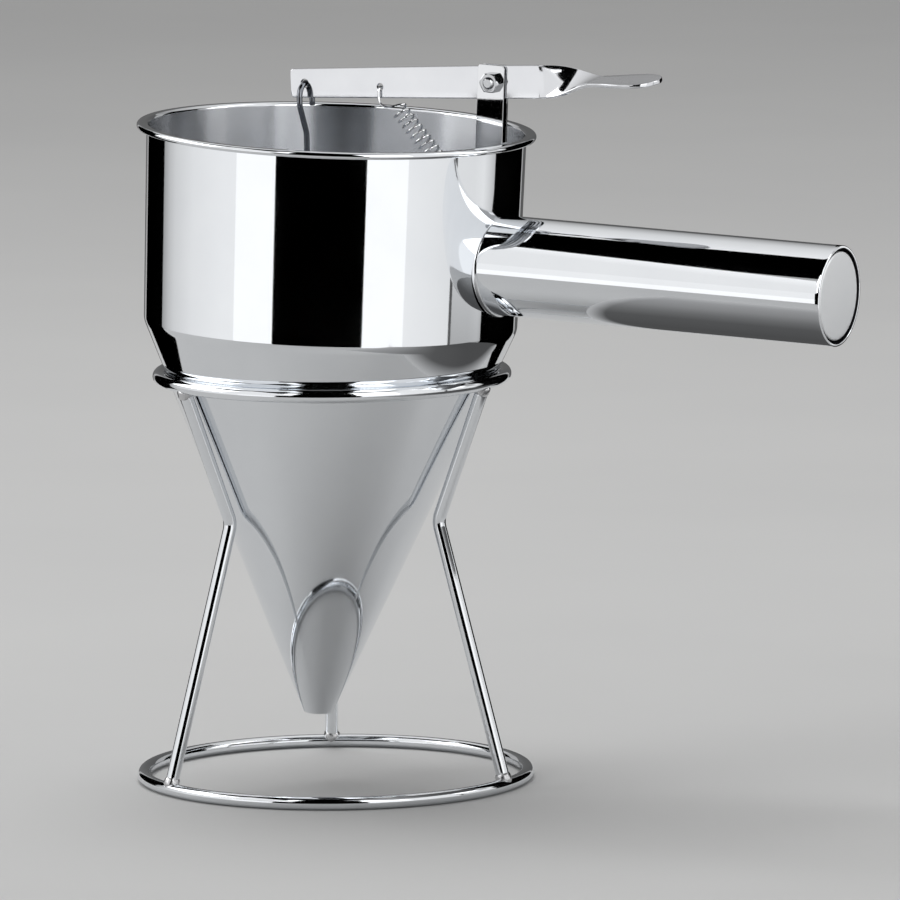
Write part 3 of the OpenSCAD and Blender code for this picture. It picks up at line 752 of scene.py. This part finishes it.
socket_top = math.sqrt(BALL_R ** 2 - SOCKET_EDGE ** 2)
ball_line = ([(0.0, SOCKET_Z), (SOCKET_R, SOCKET_Z), (SOCKET_R, BALL_R - 0.3), (SOCKET_EDGE, socket_top)]
             + [polar(BALL_R, angle) for angle in range(76, -87, -4)] + [(0.0, -BALL_R)])
seat(build("ball", lathe(ball_line, 96), FUNNEL @ shift(0, 0, ball_z) @ rod_lean, polished),
     "plunger", "polished_steel", "plunger_plug")

# ---- Return spring, in the funnel's frame ----

SPRING_WIRE, COIL_R, TURNS, PER_TURN = 0.9, 3.0, 17, 24
UPPER, LOWER = 11.0, 8.5
HOOK_ROOM = SPRING_WIRE + 0.3
ANCHOR_IN, ANCHOR_UP = 8, 6

anchor = Vector((BACK - ANCHOR_IN, 0, FOOT_Z + ANCHOR_UP))
eye = (FUNNEL.inverted() @ LEVER) @ Vector((-SPRING_ARM, 0, -SPRING_LOW))
axis = (anchor - eye).normalized()
across, sideways, down = Vector((-axis.z, 0, axis.x)), Vector((0, 1, 0)), Vector((0, 0, -1))
coil_len = (anchor - eye).length - UPPER - LOWER
upper_r, lower_r = LEVER_T / 2 + HOOK_ROOM, BRACKET_W / 2 + HOOK_ROOM


def hook_turn(hole, behind, reach, depth, span):
    """Bend of wire through a hole, from one side to the other, with its ends drawn back along behind."""
    out = []
    for i in range(13):
        a = math.radians(span * (1 - i / 6))
        out.append(hole + behind * depth * (1 - math.cos(a)) + sideways * reach * math.sin(a))
    return out


def bezier_run(p, count):
    """Points of a Bezier curve between its two ends."""
    out = []
    for i in range(1, count):
        t = i / count
        s = 1 - t
        out.append(s ** 3 * p[0] + 3 * s ** 2 * t * p[1] + 3 * s * t ** 2 * p[2] + t ** 3 * p[3])
    return out


coil = []
for i in range(TURNS * PER_TURN + 1):
    u, v = polar(COIL_R, 360 * i / PER_TURN)
    coil.append(eye + axis * (UPPER + coil_len * i / (TURNS * PER_TURN)) + u * across + v * sideways)
upper_turn = hook_turn(eye, down, upper_r, upper_r, 90)
lower_turn = hook_turn(anchor, -axis, lower_r, lower_r / 2, 80)
upper_run = bezier_run([upper_turn[-1], upper_turn[-1] + UPPER * 0.8 * down,
                        coil[0] - Vector((COIL_R, COIL_R, 0)), coil[0]], 14)
lower_run = bezier_run([coil[-1], coil[-1] + sideways * COIL_R / 2,
                        lower_turn[0] - LOWER / 3 * axis, lower_turn[0]], 10)
spring = build("spring_wire", wire(upper_turn + upper_run + coil + lower_run + lower_turn, SPRING_WIRE, 10),
               FUNNEL, spring_finish)
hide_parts("return_spring")
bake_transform(spring)

# ---- Floor ----


def floor_material():
    n = Nodes("floor_stone")
    broad = n.noise(EVEN, 3, 3)
    n.link(n.between(broad, (0.55, 0.55, 0.55), (0.61, 0.61, 0.605)), n.shader.inputs["Base Color"])
    n.shader.inputs["Roughness"].default_value = 0.8
    n.shader.inputs["Specular IOR Level"].default_value = 0.1
    n.bump(n.noise(EVEN, 260, 5), 0.15, 0.0006)
    return n.material


floor = bpy.data.meshes.new("floor")
floor.from_pydata([(-20, -20, 0), (20, -20, 0), (20, 20, 0), (-20, 20, 0)], [], [(0, 1, 2, 3)])
floor.materials.append(floor_material())
show("floor", floor)

# ---- Studio cards: bright, dark and grey, round the object. Only reflections see them. ----

AZIMUTH = 26.86
FAR_R, MIDDLE_R, NEAR_R, CLOSE_R, OVERLAP = 0.88, 0.80, 0.68, 0.36, 0.01
UNDER_Z, OVERHEAD_Z, SIDE_Y, FLAG_Y = 0.128, 1.8, -0.6, -0.12
WHITE = 1.18

points, faces, glow = [], [], []


def card(corners, levels):
    """Flat card with a level of light at each corner."""
    start = len(points)
    points.extend(corners)
    faces.append(tuple(range(start, start + len(corners))))
    glow.extend(levels)


def flat_card(left, right, near, far, height, levels):
    """Level card, with its light given for the near left, near right, far right and far left corners."""
    card([(left, near, height), (right, near, height), (right, far, height), (left, far, height)], levels)


def spot(azimuth, radius, height):
    """Point round the object: azimuth in degrees from the photograph's side, positive to its right."""
    x, y = polar(radius, AZIMUTH - 90 + azimuth)
    return (x, y, height)


def wall(stops, radius, top, base=0.0, fade=1.0):
    """Round wall from (azimuth, level) stops. Its level at the base is fade times that at the top."""
    for (low, first), (high, last) in zip(stops, stops[1:]):
        count = max(1, round((high - low) / 4))
        for i in range(count):
            a, b = (low + (high - low) * k / count for k in (i, i + 1))
            u, v = (first + (last - first) * k / count for k in (i, i + 1))
            card([spot(a, radius, base), spot(b, radius, base), spot(b, radius, top), spot(a, radius, top)],
                 [u * fade, v * fade, v, u])


# On the left, from behind to the front
left_side = [(-132, 0.25), (-124, 0.36), (-117, 0.58), (-110, 0.72), (-93, 0.87), (-69, 0.96), (-60.5, 0.97)]
wall([(-180, 0.12), (-161, 0.16)], FAR_R, 0.55)
wall([(-150, 0.0), (-118, 0.0)], CLOSE_R, 0.42)
wall(left_side, FAR_R, 0.34)
wall([(-132, 1.6), (-110, 2.5), (-60.5, 2.5)], FAR_R - OVERLAP, 1.0, 0.34)
wall([(-60.5, WHITE), (-35.4, WHITE)], FAR_R, 0.15)
wall([(-60.5, 1.0), (-35.4, 1.0)], FAR_R, 0.36, 0.15)
wall([(-35.4, 2.2), (-26, 2.2)], MIDDLE_R - OVERLAP, 1.2, 0.36)
# The dark middle
wall([(-35.4, 0.0), (18, 0.0)], MIDDLE_R, 1.20)
# On the right, from the front to behind
right_side = [(75.5, 0.84), (90, 0.83), (98, 0.88), (103, 0.74), (111, 0.48)]
wall([(17.7, WHITE), (42.5, WHITE)], NEAR_R, 0.30)
wall([(15.4, 2.2), (42.5, 2.2)], NEAR_R - OVERLAP, 1.20, 0.30)
wall([(42.5, 0.96), (73.5, 0.86)], NEAR_R, 0.30)
wall([(42.5, 0.95), (75.5, 0.90)], NEAR_R, 1.30, 0.30)
wall([(73.5, 0.10), (75.5, 0.10)], NEAR_R, 0.30)
wall(right_side, NEAR_R, 0.10, 0.0, 0.3)
wall(right_side, NEAR_R, 0.30, 0.10)
wall([(75.5, 2.0), (93, 2.0)], NEAR_R, 1.20, 0.30)
wall([(104, 1.0), (135, 1.0)], FAR_R, 0.50)
wall([(104, 0.0), (145, 0.0)], CLOSE_R, 0.42)
card([spot(97, CLOSE_R, 0), spot(104, CLOSE_R, 0), spot(104, CLOSE_R, 0.17), spot(97, CLOSE_R, 0.12)],
     [0.0] * 4)
wall([(155, 0.10), (180, 0.12)], FAR_R, 0.55)
# For the handle's side: an upright card that slopes down along its top and brightens towards it
slopes = ((0.30, 0.30, 0.93), (1.605, 0.318, 0.93), (1.765, 0.478, 1.10))
for (left, right, level), (left_top, right_top, top_level) in zip(slopes, slopes[1:]):
    card([(-0.85, SIDE_Y, left), (0.02, SIDE_Y, right), (0.02, SIDE_Y, right_top), (-0.85, SIDE_Y, left_top)],
         [level, level, top_level, top_level])
# For the bracket's ear: a small dark flag
flag = ((0.0036, 0.2468), (0.0172, 0.2468), (0.0172, 0.2384), (0.0036, 0.2398))
card([(x, FLAG_Y, z) for x, z in flag], [0.0] * 4)
# For the handle's underside: darker from the handle's front to its back, with a soft end towards its root
shade = [(-0.141, 0.50), (-0.109, 0.36), (-0.0685, 0.27), (-0.042, 0.165), (-0.020, 0.10),
         (0.021, 0.08), (0.085, 0.08)]
for (near, dim), (far, deep) in zip(shade, shade[1:]):
    flat_card(0.084, 0.092, near, far, UNDER_Z, [0.5, dim, deep, 0.5])
    flat_card(0.092, 0.230, near, far, UNDER_Z, [dim, dim, deep, deep])
# For what lies along X: a dark card overhead in front, and one behind it that slopes down and fades
flat_card(-2.2, 1.5, -1.72, 0.15, OVERHEAD_Z, [0.0] * 4)
rows = ((0.15, OVERHEAD_Z, 0.95), (1.1, 1.6, 0.75), (1.9, 1.0, 0.30))
for (near, near_z, level), (far, far_z, far_level) in zip(rows, rows[1:]):
    card([(-2.6, near, near_z), (1.5, near, near_z), (1.5, far, far_z), (-2.6, far, far_z)],
         [level, level, far_level, far_level])


def glow_material():
    """Light of the strength that the mesh holds in its glow attribute."""
    material = bpy.data.materials.new("studio_cards")
    material.use_nodes = True
    tree = material.node_tree
    tree.nodes.clear()
    shade = tree.nodes.new("ShaderNodeEmission")
    level = tree.nodes.new("ShaderNodeAttribute")
    level.attribute_name = "glow"
    out = tree.nodes.new("ShaderNodeOutputMaterial")
    tree.links.new(level.outputs["Fac"], shade.inputs["Strength"])
    tree.links.new(shade.outputs["Emission"], out.inputs["Surface"])
    return material


cards = bpy.data.meshes.new("studio_cards")
cards.from_pydata(points, [], faces)
cards.attributes.new("glow", "FLOAT", "POINT").data.foreach_set("value", glow)
cards.materials.append(glow_material())
cards = show("studio_cards", cards)
cards.visible_camera = False
cards.visible_diffuse = False
cards.visible_transmission = False
cards.visible_shadow = False

# ---- Light and camera ----

world = bpy.data.worlds.new("studio")
bpy.context.scene.world = world
world.use_nodes = True
world.node_tree.nodes["Background"].inputs["Color"].default_value = (0.42, 0.42, 0.42, 1)
world.node_tree.nodes["Background"].inputs["Strength"].default_value = 1.0


def lamp(name, place, size, power):
    """Soft round lamp that shines on the object and isn't mirrored in it."""
    data = bpy.data.lights.new(name, "AREA")
    data.shape = "DISK"
    data.size = size
    data.energy = power
    obj = show(name, data)
    obj.location = place
    obj.rotation_euler = (Vector((0, 0, 0.1)) - Vector(place)).to_track_quat("-Z", "Y").to_euler()
    obj.visible_glossy = False


lamp("soft_top", (-0.5, 0.5, 2.5), 1.8, 34)
lamp("soft_side", (-1.9, -1.5, 1.8), 1.3, 10)

# From a fit to marks in the photograph
camera = show("camera", bpy.data.cameras.new("camera"))
camera.location = (1.91801, -3.78698, 0.70938)
camera.rotation_euler = (math.radians(82.1576), math.radians(0.4591), math.radians(26.2020))
camera.data.lens = 455.26
camera.data.sensor_width = 36
camera.data.clip_end = 60
bpy.context.scene.camera = camera

bpy.context.scene.view_settings.view_transform = "Standard"

bpy.context.view_layer.update()
